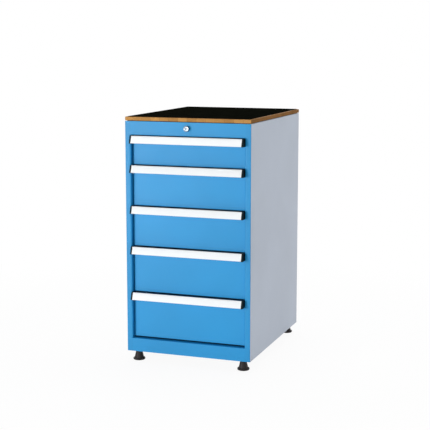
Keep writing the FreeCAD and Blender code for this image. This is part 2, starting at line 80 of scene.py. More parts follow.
class Value:
    """A socket in a material's node tree. Python's operators on it add Math nodes."""

    def __init__(self, tree: "ShaderTree", socket: NodeSocket) -> None:
        """Keeps the tree and the socket that the number comes from."""
        self.tree = tree
        self.socket = socket

    def maths(self, operation: str, *others: Number) -> "Value":
        """The result of a Math node that takes this value first and the others after it."""
        return self.tree.node("ShaderNodeMath", {"operation": operation}, dict(enumerate((self, *others))))

    def __add__(self, other: Number) -> "Value":
        """The sum."""
        return self.maths("ADD", other)

    def __sub__(self, other: Number) -> "Value":
        """The difference."""
        return self.maths("SUBTRACT", other)

    def __mul__(self, other: Number) -> "Value":
        """The product."""
        return self.maths("MULTIPLY", other)

    def __truediv__(self, other: Number) -> "Value":
        """The quotient."""
        return self.maths("DIVIDE", other)

    def __rsub__(self, other: float) -> "Value":
        """A number minus this value."""
        return self.tree.node("ShaderNodeMath", {"operation": "SUBTRACT"}, {0: other, 1: self})

    __radd__ = __add__
    __rmul__ = __mul__

    def absolute(self) -> "Value":
        """The size without the sign."""
        return self.maths("ABSOLUTE")

    def whole(self) -> "Value":
        """The whole number at or below the value."""
        return self.maths("FLOOR")

    def part(self) -> "Value":
        """What is left over the whole number, from 0 to 1."""
        return self.maths("FRACT")

    def within(self, low: float, high: float) -> "Value":
        """The value held between two limits."""
        return self.maths("MAXIMUM", low).maths("MINIMUM", high)

    def around(self, middle: float, spread: float) -> "Value":
        """A value of 0 to 1 laid round a middle: the middle plus (value - 0.5) times the spread."""
        return middle + (self - 0.5) * spread

    def sibling(self, output: str) -> "Value":
        """Another output of the same node."""
        return Value(self.tree, self.socket.node.outputs[output])

    def over(self, low: float, high: float) -> "Value":
        """A smooth step: 0 up to low, 1 from high on."""
        limits = {"Value": self, "From Min": low, "From Max": high}
        return self.tree.node("ShaderNodeMapRange", {"interpolation_type": "SMOOTHSTEP"}, limits)


class ShaderTree:
    """A material or a world under construction."""

    def __init__(self, name: str, world: bool = False) -> None:
        """Starts a material or a world with an empty tree.

        Args:
            name: its name.
            world: whether it is a world.
        """
        self.block = (bpy.data.worlds if world else bpy.data.materials).new(name)
        self.end = "ShaderNodeOutputWorld" if world else "ShaderNodeOutputMaterial"
        self.block.use_nodes = True
        self.nodes = self.block.node_tree.nodes
        self.links = self.block.node_tree.links
        self.nodes.clear()

    def node(self, kind: str, settings: Optional[dict[str, Any]] = None,
             inputs: Optional[dict[Union[int, str], Any]] = None, output: Union[int, str] = 0) -> Value:
        """Adds a node.

        Args:
            kind: the node's type.
            settings: its properties, set before its sockets.
            inputs: numbers, colours, vectors or values for its sockets, by index or name.
            output: which of its outputs is wanted.

        Returns:
            That output.
        """
        made = self.nodes.new(kind)
        for name, setting in (settings or {}).items():
            setattr(made, name, setting)
        for key, given in (inputs or {}).items():
            if isinstance(given, Value):
                self.links.new(given.socket, made.inputs[key])
            elif made.inputs[key].type == "RGBA" and len(given) == 3:
                made.inputs[key].default_value = (*given, 1.0)
            else:
                made.inputs[key].default_value = given
        return Value(self, made.outputs[output])

    def place(self) -> Value:
        """The point on the surface, in the cabinet's own metres."""
        return self.node("ShaderNodeTexCoord", output="Object")

    def axes(self, vector: Optional[Value] = None) -> tuple[Value, Value, Value]:
        """The three numbers of a vector, or of the point on the surface."""
        x = self.node("ShaderNodeSeparateXYZ", inputs={0: vector or self.place()})
        return x, x.sibling("Y"), x.sibling("Z")

    def facing(self) -> tuple[Value, Value, Value]:
        """The three numbers of the surface's normal, in the object's own axes."""
        return self.axes(self.node("ShaderNodeTexCoord", output="Normal"))

    def seen(self) -> Value:
        """Tells apart the rays that show a surface from those that light others.

        Returns:
            1 for rays from the camera, from a reflection or through something clear, else 0.
        """
        camera = self.node("ShaderNodeLightPath", output="Is Camera Ray")
        reflected = camera.maths("MAXIMUM", camera.sibling("Is Glossy Ray"))
        return reflected.maths("MAXIMUM", camera.sibling("Is Transmission Ray"))

    def point(self, x: Number, y: Number, z: Number) -> Value:
        """A vector from three numbers."""
        return self.node("ShaderNodeCombineXYZ", inputs={0: x, 1: y, 2: z})

    def noise(self, size: float, detail: float = 2.0, stretch: Point = (1, 1, 1),
              roughness: float = 0.5) -> Value:
        """Soft noise from 0 to 1.

        Args:
            size: the size of its patches, in metres.
            detail: how many finer layers it has.
            stretch: how many times longer a patch is along each axis.
            roughness: how strong the finer layers are.

        Returns:
            The noise.
        """
        scale = [1 / (size * s) for s in stretch]
        scaled = self.node("ShaderNodeMapping", inputs={"Vector": self.place(), "Scale": scale})
        return self.node("ShaderNodeTexNoise", inputs={
            "Vector": scaled, "Scale": 1.0, "Detail": detail, "Roughness": roughness})

    def blend(self, share: Number, first: Union[Value, Colour], second: Union[Value, Colour]) -> Value:
        """A colour between two: the first at a share of 0, the second at a share of 1."""
        return self.node("ShaderNodeMix", {"data_type": "RGBA"}, {0: share, 6: first, 7: second}, output=2)

    def bump(self, height: Value, depth: float, strength: float = 1.0,
             under: Optional[Value] = None) -> Value:
        """A normal that follows a height.

        Args:
            height: the height, from 0 to 1.
            depth: what a height of 1 is, in metres.
            strength: how much of the slope shows.
            under: a normal to lay this one over.

        Returns:
            The normal.
        """
        inputs = {"Height": height, "Distance": depth, "Strength": strength}
        if under is not None:
            inputs["Normal"] = under
        return self.node("ShaderNodeBump", inputs=inputs)

    def surface(self, **sockets: Any) -> Material:
        """Ends the material with a principled shader. A socket's name has an underscore for each space."""
        named = {name.replace("_", " "): given for name, given in sockets.items()}
        return self.finish(self.node("ShaderNodeBsdfPrincipled", inputs=named))

    def finish(self, shader: Value) -> Union[Material, World]:
        """Joins a shader to the output.

        Args:
            shader: the last shader.

        Returns:
            The material or the world.
        """
        output = self.nodes.new(self.end)
        self.links.new(shader.socket, output.inputs["Surface"])
        return self.block


# ---- Finishes ----

@dataclass(frozen=True)
class PowderCoat:
    """Satin paint baked on sheet steel: an even colour with a very fine orange peel."""

    name: str
    colour: Colour
    variation: float = 0.04
    cloud_size: float = 0.35
    cloud_span: Span = (0.3, 0.7)
    roughness: float = 0.45
    patch_size: float = 0.05
    patch_spread: float = 0.08
    gloss: float = 0.33
    peel_size: float = 0.0016
    peel_bump: Span = (0.00003, 0.5)
    outer_fold: Optional[float] = None
    inner_fold: Optional[float] = None
    inner_span: Span = (0.1015, 0.9855)
    inner_fade: float = 0.001
    fold_radius: float = 0.0026
    inner_radius: float = 0.0038
    inner_slope: float = 0.5
    welds: bool = False
    weld_spacing: float = 0.11
    weld_radius: float = 0.0035
    weld_line: float = 0.268
    weld_edge: Span = (0.5, 1.0)
    weld_bump: Span = (0.0004, 0.6)

    def fold_fall(self, tree: ShaderTree) -> Value:
        """How far the sheet falls away in its upright folds: the square of the share of the radius passed.

        The inner fold runs only along the opening.

        Args:
            tree: the paint's tree.

        Returns:
            The fall, 1 at the end of the outer fold.
        """
        x, _, z = tree.axes()
        place = x.absolute()
        share = ((place - self.outer_fold) * (1 / self.fold_radius) + 1).within(0.0, 1.0)
        fall = share * share
        if self.inner_fold is not None:
            low, high = self.inner_span
            share = ((self.inner_fold - place) * (1 / self.inner_radius) + 1).within(0.0, 1.0)
            deeper = self.inner_slope * self.inner_radius / self.fold_radius
            above, below = z.over(low, low + self.inner_fade), 1 - z.over(high - self.inner_fade, high)
            fall = fall + share * share * deeper * above * below
        return fall

    def weld_marks(self, tree: ShaderTree) -> Value:
        """Shallow round marks of spot welds up the folded edges at the back.

        Args:
            tree: the paint's tree.

        Returns:
            1 inside a mark, else 0.
        """
        x, _, z = tree.axes()
        across = (x.absolute() - self.weld_line) * (1 / self.weld_radius)
        along = ((z / self.weld_spacing).part() - 0.5) * (self.weld_spacing / self.weld_radius)
        return 1 - (across * across + along * along).over(*self.weld_edge)

    def material(self) -> Material:
        """Makes the paint.

        Returns:
            The material.
        """
        tree = ShaderTree(self.name)
        cloud = tree.noise(self.cloud_size)
        normal = tree.bump(tree.noise(self.peel_size, detail=1), *self.peel_bump)
        if self.outer_fold is not None:
            normal = tree.bump(1 - self.fold_fall(tree), self.fold_radius / 2, under=normal)
        if self.welds:
            normal = tree.bump(1 - self.weld_marks(tree), *self.weld_bump, normal)
        return tree.surface(
            Base_Color=tree.blend(cloud.over(*self.cloud_span), toned(self.colour, 1 - self.variation),
                                  toned(self.colour, 1 + self.variation)),
            Roughness=tree.noise(self.patch_size, detail=3).around(self.roughness, self.patch_spread),
            Specular_IOR_Level=self.gloss,
            Normal=normal)


@dataclass(frozen=True)
class DrawnAluminium:
    """The handles' pale finish, with faint lines along the extrusion."""

    name: str = "handle_pale_aluminium"
    colour: Colour = rgb(234, 238, 241)
    line_tone: float = 0.94
    line_width: float = 0.0007
    line_stretch: Point = (300, 1, 1)
    line_bump: Span = (0.00003, 0.3)
    roughness: float = 0.3
    line_roughness: float = 0.12

    def material(self) -> Material:
        """Makes the finish.

        Returns:
            The material.
        """
        tree = ShaderTree(self.name)
        lines = tree.noise(self.line_width, stretch=self.line_stretch)
        return tree.surface(
            Base_Color=tree.blend(lines, toned(self.colour, self.line_tone), self.colour),
            Roughness=self.roughness + lines * self.line_roughness,
            Normal=tree.bump(lines, *self.line_bump))


@dataclass(frozen=True)
class LabelCard:
    """A plain white label strip under its clear cover."""

    name: str = "label_card"
    colour: Colour = rgb(242, 245, 247)
    fibre_tone: float = 0.965
    fibre_size: float = 0.0012
    fibre_span: Span = (0.35, 0.65)
    roughness: float = 0.42
    fibre_roughness: float = 0.08
    cover: float = 0.3
    cover_roughness: float = 0.15

    def material(self) -> Material:
        """Makes the card, with a faint fibre in it.

        Returns:
            The material.
        """
        tree = ShaderTree(self.name)
        fibre = tree.noise(self.fibre_size, detail=3)
        return tree.surface(
            Base_Color=tree.blend(fibre.over(*self.fibre_span), toned(self.colour, self.fibre_tone),
                                  self.colour),
            Roughness=self.roughness + fibre * self.fibre_roughness,
            Coat_Weight=self.cover,
            Coat_Roughness=self.cover_roughness)


@dataclass(frozen=True)
class MouldedPlastic:
    """Moulded plastic with a fine spark-eroded grain."""

    name: str
    colour: Colour
    roughness: float = 0.5
    gloss: float = 0.1
    grain_size: float = 0.0009
    grain_bump: Span = (0.00006, 0.6)
    grain_spread: float = 0.14
    wear_size: float = 0.012
    wear_span: Span = (0.45, 0.8)
    wear_share: float = 0.5
    wear_gain: float = 1.35
    wear_haze: float = 0.004

    def material(self) -> Material:
        """Makes the plastic.

        Returns:
            The material.
        """
        tree = ShaderTree(self.name)
        grain = tree.noise(self.grain_size)
        wear = tree.noise(self.wear_size, detail=3).over(*self.wear_span) * self.wear_share
        worn = tuple(c * self.wear_gain + self.wear_haze for c in self.colour)
        return tree.surface(
            Base_Color=tree.blend(wear, self.colour, worn),
            Roughness=grain.around(self.roughness, self.grain_spread),
            Specular_IOR_Level=self.gloss,
            Normal=tree.bump(grain, *self.grain_bump))


@dataclass(frozen=True)
class GluedBoard:
    """A board glued up from hardwood staves that run along Y, each stave of its own tone."""

    name: str = "oiled_hardwood"
    pale: Colour = rgb(186, 138, 80)
    deep: Colour = rgb(150, 107, 60)
    # Painted shade: the sides' wood is darker than the front's, for the shade on the sides
    side_wood_and_shade: Colour = rgb(138, 96, 50)
    # Painted shade: the darker colour that the top face takes
    upper: Colour = rgb(112, 79, 44)
    # Painted shade: a near black under the board, for the shadow in the gap beneath it
    painted_underside_shade: Colour = rgb(30, 33, 30)
    painted_shade_below: float = 1.0466
    painted_shade_fade: float = 0.0002
    stave: float = 0.041
    piece: float = 0.19
    piece_shift: float = 0.37
    shift_reach: float = 7.0
    grain_size: float = 0.0022
    grain_stretch: Point = (1, 22, 2)
    ring_size: float = 0.011
    ring_stretch: Point = (1, 9, 1)
    ring_share: float = 0.55
    figure_floor: float = 0.32
    figure_gain: float = 1.3
    stave_gain: float = 0.9
    joint_span: Span = (0.488, 0.498)
    joint_tone: float = 0.55
    side_tone: float = 0.72
    side_block_share: float = 0.5
    side_figure_share: float = 0.3
    side_span: Span = (0.6, 0.8)
    top_shade_span: Span = (0.5, 0.8)
    top_shade_share: float = 0.92
    roughness: float = 0.6
    grain_spread: float = 0.2
    grain_bump: Span = (0.00012, 0.35)
    gloss: float = 0.03

    def flat_grain(self, tree: ShaderTree, figure: Value) -> Value:
        """The colour along the grain: toned by stave and by piece, with a dark line at each glued joint.

        Args:
            tree: the material's tree.
            figure: the wood's figure, from 0 to 1.

        Returns:
            The colour, with painted shade darkening the top face.
        """
        x, y, _ = tree.axes()
        across = x / self.stave
        row = across.whole()
        along = y / self.piece + (row * self.piece_shift).part() * self.shift_reach
        tone = tree.node("ShaderNodeTexWhiteNoise", {"noise_dimensions": "3D"},
                         {"Vector": tree.point(row, along.whole(), 0.5)})
        share = (figure - self.figure_floor) * self.figure_gain + (tone - 0.5) * self.stave_gain
        # Painted shade: faces that look up are turned towards the darker upper colour
        level = tree.facing()[2].over(*self.top_shade_span) * self.top_shade_share
        darkened = tree.blend(level, tree.blend(share, self.pale, self.deep), self.upper)
        joint = 1 - (across.part() - 0.5).absolute().over(*self.joint_span)
        return tree.blend(joint, toned(self.deep, self.joint_tone), darkened)

    def material(self) -> Material:
        """Makes the wood: grain along Y, painted shade darkening the top face, sides toned by block and
        darkened by painted shade, and painted shade over the underside.

        Returns:
            The material.
        """
        tree = ShaderTree(self.name)
        grain = tree.noise(self.grain_size, detail=4, stretch=self.grain_stretch, roughness=0.6)
        rings = tree.noise(self.ring_size, detail=3, stretch=self.ring_stretch, roughness=0.55)
        figure = grain * (1 - self.ring_share) + rings * self.ring_share
        block = tree.node("ShaderNodeTexWhiteNoise", {"noise_dimensions": "1D"},
                          {"W": (tree.axes()[1] / self.stave).whole()})
        # The sides take a darker wood: the block tone is the wood's own, the overall darkness is painted
        # shade
        edge = tree.blend(block * self.side_block_share + figure * self.side_figure_share, self.side_wood_and_shade,
                          toned(self.side_wood_and_shade, self.side_tone))
        side = tree.facing()[0].absolute().over(*self.side_span)
        shown = tree.blend(side, self.flat_grain(tree, figure), edge)
        # Painted shade: below the board's rebate the colour turns near black, for the shadow of the gap under
        # the board
        under = 1 - tree.axes()[2].over(self.painted_shade_below - self.painted_shade_fade, self.painted_shade_below)
        return tree.surface(
            Base_Color=tree.blend(under, shown, self.painted_underside_shade),
            Roughness=grain.around(self.roughness, self.grain_spread),
            Specular_IOR_Level=self.gloss,
            Normal=tree.bump(grain, *self.grain_bump))


@dataclass(frozen=True)
class FlutedRubber:
    """Black oil-proof rubber."""

    name: str = "black_rubber"
    colour: Colour = rgb(14, 15, 11)
    surface_height: float = 1.064
    flute_shade_fade: Span = (0.0004, 0.0001)
    flute_painted_shade: float = 0.35
    bloom_size: float = 0.06
    bloom_span: Span = (0.4, 0.75)
    bloom_gain: float = 1.5
    roughness: float = 0.88
    skin_size: float = 0.0008
    skin_spread: float = 0.12
    skin_bump: Span = (0.00008, 0.5)

    def material(self) -> Material:
        """Makes the rubber: a matt skin with a little bloom, and painted shade down in the flutes.

        Returns:
            The material.
        """
        tree = ShaderTree(self.name)
        bloom = tree.noise(self.bloom_size, detail=4).over(*self.bloom_span)
        skin = tree.noise(self.skin_size)
        # Painted shade: the colour darkens down in the flutes
        deep, shallow = self.flute_shade_fade
        raised = tree.axes()[2].over(self.surface_height - deep, self.surface_height - shallow)
        worn = tree.blend(bloom, self.colour, toned(self.colour, self.bloom_gain))
        return tree.surface(
            Base_Color=tree.blend(raised, toned(self.colour, self.flute_painted_shade), worn),
            Roughness=skin.around(self.roughness, self.skin_spread),
            Specular_IOR_Level=0.0,
            Normal=tree.bump(skin, *self.skin_bump))


@dataclass(frozen=True)
class ZincPlate:
    """Bright zinc-plated steel with faint spangle and drawing lines."""

    name: str = "zinc_plated_steel"
    colour: Colour = rgb(190, 194, 198)
    spangles: Point = (90, 90, 90)
    spangle_tone: float = 0.84
    roughness: float = 0.32
    spangle_roughness: float = 0.12
    line_size: float = 0.0015
    line_bump: Span = (0.00003, 0.4)

    def material(self) -> Material:
        """Makes the plating, with its spangles counted to the metre.

        Returns:
            The material.
        """
        tree = ShaderTree(self.name)
        place = tree.node("ShaderNodeMapping", inputs={"Vector": tree.place(), "Scale": self.spangles})
        spangle = tree.node("ShaderNodeTexVoronoi", {"feature": "F1"}, {"Vector": place, "Scale": 1.0},
                            output="Color")
        tone = tree.axes(spangle)[0]
        return tree.surface(
            Base_Color=tree.blend(tone, toned(self.colour, self.spangle_tone), self.colour),
            Metallic=1.0,
            Roughness=self.roughness + tone * self.spangle_roughness,
            Normal=tree.bump(tree.noise(self.line_size, detail=3), *self.line_bump))


@dataclass(frozen=True)
class LockChrome:
    """Polished chrome with faint turning marks, and painted shade on its wall."""

    name: str = "lock_chrome"
    colour: Colour = rgb(158, 171, 185)
    # Painted shade: a dark colour on the wall round the lock, for the shade on the lock's side
    wall: Colour = rgb(84, 98, 110)
    face_span: Span = (0.2, 0.6)
    mark_tone: float = 0.9
    mark_size: float = 0.0009
    mark_bump: Span = (0.00002, 0.3)
    roughness: float = 0.2
    mark_roughness: float = 0.08

    def material(self) -> Material:
        """Makes the chrome, with painted shade on its wall: the wall takes a dark colour, the faces across Y
        the bright one.

        Returns:
            The material.
        """
        tree = ShaderTree(self.name)
        marks = tree.noise(self.mark_size)
        bright = tree.blend(marks, toned(self.colour, self.mark_tone), self.colour)
        # Painted shade: faces across Y keep the bright chrome, the wall round them turns dark
        face = tree.facing()[1].absolute().over(*self.face_span)
        return tree.surface(
            Base_Color=tree.blend(face, self.wall, bright),
            Metallic=1.0,
            Roughness=self.roughness + marks * self.mark_roughness,
            Normal=tree.bump(marks, *self.mark_bump))


class Coat(Enum):
    """The finishes that the cabinet's pieces take."""

    # One blue paint in three tones: the posts and rails are painted a little darker than the fronts, as
    # painted shade
    POST = PowderCoat("blue_powder_coat_posts", rgb(30, 140, 198), outer_fold=0.28, inner_fold=0.258)
    RAIL = PowderCoat("blue_powder_coat_rails", rgb(31, 143, 202))
    FRONT = PowderCoat("blue_powder_coat_fronts", rgb(31, 145, 204))
    GREY = PowderCoat("grey_powder_coat", rgb(182, 191, 205), variation=0.03)
    GREY_WELDED = PowderCoat("welded_grey_powder_coat", rgb(182, 191, 205), variation=0.03, welds=True)
    HANDLE = DrawnAluminium()
    CARD = LabelCard()
    CAP = MouldedPlastic("black_cap_plastic", rgb(14, 26, 28), roughness=0.45)
    FOOT = MouldedPlastic("dark_foot_plastic", rgb(36, 32, 32), roughness=0.5, gloss=0.2)
    KEYHOLE = MouldedPlastic("keyhole_insert", rgb(150, 158, 166), roughness=0.4, grain_bump=(0.00002, 0.6))
    WOOD = GluedBoard()
    RUBBER = FlutedRubber()
    ZINC = ZincPlate()
    CHROME = LockChrome()


@lru_cache(maxsize=None)
def material(coat: Coat) -> Material:
    """The material of a finish, made once."""
    return coat.value.material()


def dress(coat: Coat, *nodes: str) -> None:
    """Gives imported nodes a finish.

    Args:
        coat: the finish.
        nodes: the nodes' names.
    """
    for name in nodes:
        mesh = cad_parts[name].data
        mesh.materials.clear()
        mesh.materials.append(material(coat))
        LOG.info("%s: %s", name, coat.value.name)


# ---- Meshes ----

def linked(made: Object) -> Object:
    """The same object, linked to the scene."""
    bpy.context.scene.collection.objects.link(made)
    return made


def ring_quads(rows: int, columns: int) -> np.ndarray:
    """Quads between the rings of a stack.

    Args:
        rows: the number of rings.
        columns: the number of points in a ring.

    Returns:
        The quads as an array of (row, column, corner).
    """
    row, column = np.meshgrid(np.arange(rows - 1), np.arange(columns), indexing="ij")
    following = (column + 1) % columns
    return np.stack([row * columns + column, row * columns + following,
                     (row + 1) * columns + following, (row + 1) * columns + column], axis=-1)


def closed_stack(rows: int, columns: int) -> list[list[int]]:
    """Faces of a stack of rings: the quads between them, and one face over each end."""
    ends = [list(range(columns)), list(range((rows - 1) * columns, rows * columns))]
    return ring_quads(rows, columns).reshape(-1, 4).tolist() + ends


def closed_hoop(rows: int, columns: int) -> list[list[int]]:
    """Faces of a stack of rings whose last ring joins its first: quads alone."""
    return (ring_quads(rows + 1, columns).reshape(-1, 4) % (rows * columns)).tolist()


def make_piece(name: str, points: np.ndarray, faces: Sequence[Sequence[int]], coat: Coat, body: str,
               sharp: Optional[float] = 35.0) -> Object:
    """Puts a surface into the scene.

    Args:
        name: the piece's name.
        points: its points, as an array whose last axis is X, Y and Z.
        faces: its faces as lists of point numbers.
        coat: its finish.
        body: the body that it rides on.
        sharp: the angle in degrees past which an edge stays sharp, or None for a piece of flat faces.

    Returns:
        The object.
    """
    mesh = bpy.data.meshes.new(name)
    mesh.from_pydata(points.reshape(-1, 3), [], faces)
    work = bmesh.new()
    work.from_mesh(mesh)
    bmesh.ops.recalc_face_normals(work, faces=work.faces)
    work.to_mesh(mesh)
    work.free()
    if sharp is not None:
        mesh.shade_smooth()
        mesh.set_sharp_from_angle(angle=math.radians(sharp))
    mesh.materials.append(material(coat))
    piece = linked(bpy.data.objects.new(name, mesh))
    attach(piece, body)
    LOG.info("%s: %d points, %d faces, on %s", name, len(mesh.vertices), len(mesh.polygons), body)
    return piece


def rivet_head(radius: float, rise: float) -> np.ndarray:
    """The profile of a domed rivet: a quarter ellipse from the rim to the pole, seated in the sheet.

    Args:
        radius: the head's radius.
        rise: how far it stands up.

    Returns:
        (radius, height) rows.
    """
    turn = np.linspace(0, math.pi / 2, DOME_STEPS)
    dome = np.column_stack([radius * np.cos(turn), rise * np.sin(turn)])
    dome[-1, 0] = POLE
    return np.vstack([[[radius, -SEAT]], dome])


def turned(profile: np.ndarray, centres: np.ndarray, axis: int,
           segments: int = 20) -> tuple[np.ndarray, list[list[int]]]:
    """Turned pieces, one at each centre: each profile point goes round the axis on a circle.

    Args:
        profile: (radius, height along the axis) rows, from one pole to the other.
        centres: where the pieces stand, as (x, y, z) rows.
        axis: 0, 1 or 2 for the axis of turning. A negative height points the other way.
        segments: the points round each circle.

    Returns:
        The points and the faces.
    """
    angle = np.arange(segments) * 2 * math.pi / segments
    across = [i for i in range(3) if i != axis]
    one = np.zeros((len(profile), segments, 3))
    one[..., across[0]] = profile[:, :1] * np.cos(angle)
    one[..., across[1]] = profile[:, :1] * np.sin(angle)
    one[..., axis] = profile[:, 1:]
    stack = closed_stack(len(profile), segments)
    starts = np.arange(len(centres)) * len(profile) * segments
    faces = [[start + index for index in face] for start in starts.tolist() for face in stack]
    return centres[:, None, None, :] + one, faces


# ---- Worktop ----

@dataclass
class Worktop:
    """The wooden board and its fluted rubber mat."""

    flute_pitch: float = 0.003
    flute_depth: float = 0.0005
    flute_shares: tuple[float, ...] = (0.0, 0.62, 0.72, 0.90)
    flute_falls: tuple[float, ...] = (0.0, 0.0, 1.0, 1.0)
    edge_radius: float = 0.001
    edge_points: int = 4
    edge_margins: int = 4
    end_bevel: float = 0.0003

    def build(self) -> None:
        """Dresses the board and lays the mat."""
        dress(Coat.WOOD, "worktop_board")
        self.mat()

    def mat(self) -> None:
        """Lays the mat: its top goes up and down in flutes across X, and its edge is rounded off.

        With s the share of x over the pitch, the height is the top up to s = 0.62, falls by the flute
        depth until 0.72, stays down until 0.90 and rises to the next flute.
        """
        low, high = (np.array(corner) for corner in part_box("rubber_mat"))
        radius = self.edge_radius
        flutes = int((high[0] - low[0] - self.edge_margins * radius) / self.flute_pitch)
        start = (low[0] + high[0] - flutes * self.flute_pitch) / 2
        x = (start + (np.arange(flutes)[:, None] + self.flute_shares) * self.flute_pitch).ravel()
        z = np.tile(high[2] - self.flute_depth * np.array(self.flute_falls), flutes)
        turn = np.linspace(0, math.pi / 2, self.edge_points)
        left_x = low[0] + radius - radius * np.cos(turn)
        rounded_z = high[2] - radius + radius * np.sin(turn)
        x = np.concatenate([[low[0]], left_x, x, high[0] + low[0] - left_x[::-1], [high[0]]])
        z = np.concatenate([[low[2]], rounded_z, z, rounded_z[::-1], [low[2]]])
        y = np.array([low[1], low[1] + self.end_bevel, high[1] - self.end_bevel, high[1]])
        drop = np.array([radius, 0.0, 0.0, radius])[:, None]
        across, along = np.broadcast_arrays(x[None, :], y[:, None])
        height = np.maximum(np.broadcast_to(z, across.shape) - drop, low[2])
        points = np.stack([across, along, height], axis=-1)
        faces = closed_stack(len(y), len(x))
        mat = make_piece("fluted_mat", points, faces, Coat.RUBBER, "cabinet", sharp=25)
        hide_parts("rubber_mat")


# ---- Drawers ----

@dataclass
class Tray:
    """A drawer's tray: folded sheet with slots for dividers in its walls."""

    sheet: float = 0.0012
    corner: float = 0.003
    corner_points: int = 4
    least_corner: float = 0.0006
    rim: float = 0.008
    rim_return: float = 0.006
    rim_bend: float = 0.001
    floor_bend: float = 0.0015
    floor_cut: float = 0.0004
    slot_pitch: float = 0.017
    slot_width: float = 0.004
    slot_height: float = 0.012
    slot_rise: float = 0.050
    slot_drop: float = 0.016
    slot_margins: float = 0.03
    least_between: float = 0.006

    def walls(self, half: np.ndarray) -> list[tuple[float, float, np.ndarray]]:
        """The four walls in turn.

        Args:
            half: half the tray's width and depth.

        Returns:
            Each wall's way from the middle, half its length, and the places of its slots' edges.
        """
        walls = []
        for reach, length in [tuple(half), tuple(half[::-1])] * 2:
            count = int((2 * (length - self.corner) - self.slot_margins) / self.slot_pitch)
            middles = (np.arange(count) - (count - 1) / 2) * self.slot_pitch
            edges = middles[:, None] + np.array([-0.5, 0.5]) * self.slot_width
            walls.append((reach, length, edges.ravel()))
        return walls

    def loop(self, half: np.ndarray, inset: float) -> np.ndarray:
        """A rounded rectangle round the tray, with points at the slots' edges.

        Each side's points keep their places along it, and each corner is a quarter circle of the
        corner radius less the inset.

        Args:
            half: half the tray's width and depth.
            inset: how far the loop is drawn in.

        Returns:
            (x, y) rows round the tray's middle.
        """
        radius = max(self.corner - inset, self.least_corner)
        turns = np.linspace(0, math.pi / 2, self.corner_points)
        sides = []
        for quarter, (reach, length, along) in enumerate(self.walls(half)):
            straight = np.column_stack([np.full(len(along), reach - inset), along])
            centre = np.array([reach - inset - radius, length - inset - radius])
            bend = centre + radius * np.column_stack([np.cos(turns), np.sin(turns)])
            angle = quarter * math.pi / 2
            spin = np.array([[math.cos(angle), math.sin(angle)], [-math.sin(angle), math.cos(angle)]])
            sides.append(np.vstack([straight, bend]) @ spin)
        return np.vstack(sides)

    def slot_levels(self, bottom: float, top: float) -> list[float]:
        """Heights of the slots' edges.

        Args:
            bottom: the tray's lowest height.
            top: its highest.

        Returns:
            The heights from below, of two rows of slots or, in a low tray, of the upper row.
        """
        upper = top - self.slot_drop
        slots = [bottom + self.slot_rise, bottom + self.slot_rise + self.slot_height,
                 upper - self.slot_height, upper]
        return slots[2:] if slots[1] > slots[2] - self.least_between else slots

    def build(self, number: int) -> None:
        """Makes one drawer's tray.

        Rows of the same loop go from the rim's lower lip up, over the rim, down the wall and in
        under the floor. In a row of slots every other cell between the slots' edges is left out, and
        the sheet then gets its thickness.

        Args:
            number: the drawer's number, from the top.
        """
        low, high = (np.array(corner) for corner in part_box(f"drawer_{number}_tray"))
        half = (high - low)[:2] / 2
        middle = (high + low)[:2] / 2
        top, bottom, bend = high[2], low[2], self.rim_bend
        slots = self.slot_levels(bottom, top)
        rows = [(self.rim, top - self.rim_return), (self.rim, top - bend), (self.rim - bend, top),
                (bend, top), (0.0, top - bend)]
        first_slot = len(rows)
        rows += [(0.0, z) for z in reversed(slots)]
        rows += [(0.0, bottom + self.floor_bend), (self.floor_cut, bottom + self.floor_cut),
                 (self.floor_bend, bottom)]
        loops = []
        for inset, z in rows:
            plan = self.loop(half, inset)
            loops.append(np.column_stack([plan + middle, np.full(len(plan), z)]))
        points = np.stack(loops)
        count = points.shape[1]
        quads = ring_quads(len(rows), count)
        solid = np.concatenate([[index % 2 == 1 for index in range(len(along))] + [True] * self.corner_points
                                for *_, along in self.walls(half)])
        keep = np.ones(quads.shape[:2], bool)
        keep[first_slot:first_slot + len(slots):2] = solid
        faces = quads[keep].tolist() + [list(range((len(rows) - 1) * count, len(rows) * count))]
        name = f"drawer_{number}_slotted_tray"
        tray = make_piece(name, points, faces, Coat.GREY, f"drawer_{number}", sharp=None)
        wall = tray.modifiers.new("sheet", "SOLIDIFY")
        wall.thickness = self.sheet
        wall.offset = -1
        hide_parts(f"drawer_{number}_tray")


@dataclass
class LabelStrip:
    """The label strip of a drawer, laid in the handle's channel by the sizes of the handle's section."""

    front: float = -0.3495
    top_reach: float = 0.015
    reach: float = 0.026
    top_rise: float = 0.0005
    drop: float = 0.030
    half_length: float = 0.2456
    start: float = 0.0054
    end: float = 0.0306
    depth: float = 0.0003
    back: float = 0.00115
    crown: float = 0.00015
    edge_bevel: float = 0.0003
    steps: int = 13

    def build(self, number: int, line: float) -> None:
        """Lays the strip: a thin bar along X with a slightly crowned face.

        With s the share of the way down the strip, its depth d behind the handle's slanting face is the
        least one plus the crown times (2 s - 1) squared. A point a down that face then stands
        (a run - d fall) / length further forward and (a fall + d run) / length lower than its top edge.

        Args:
            number: the drawer's number, from the top.
            line: the height of the drawer's upper limit.
        """
        share = np.linspace(0, 1, self.steps)
        along = self.start + (self.end - self.start) * share
        depth = self.depth + self.crown * (2 * share - 1) ** 2
        depth[[0, -1]] += self.edge_bevel
        along, depth = np.append(along, along[[-1, 0]]), np.append(depth, [self.back, self.back])
        run, fall = self.reach - self.top_reach, self.drop + self.top_rise
        length = math.hypot(run, fall)
        ahead = self.top_reach + (along * run - depth * fall) / length
        height = self.top_rise - (along * fall + depth * run) / length
        profile = np.column_stack([self.front - ahead, line + height])
        ends = [np.column_stack([np.full(len(profile), x), profile])
                for x in (-self.half_length, self.half_length)]
        make_piece(f"drawer_{number}_label_strip", np.stack(ends), closed_stack(2, len(profile)), Coat.CARD,
                   f"drawer_{number}")


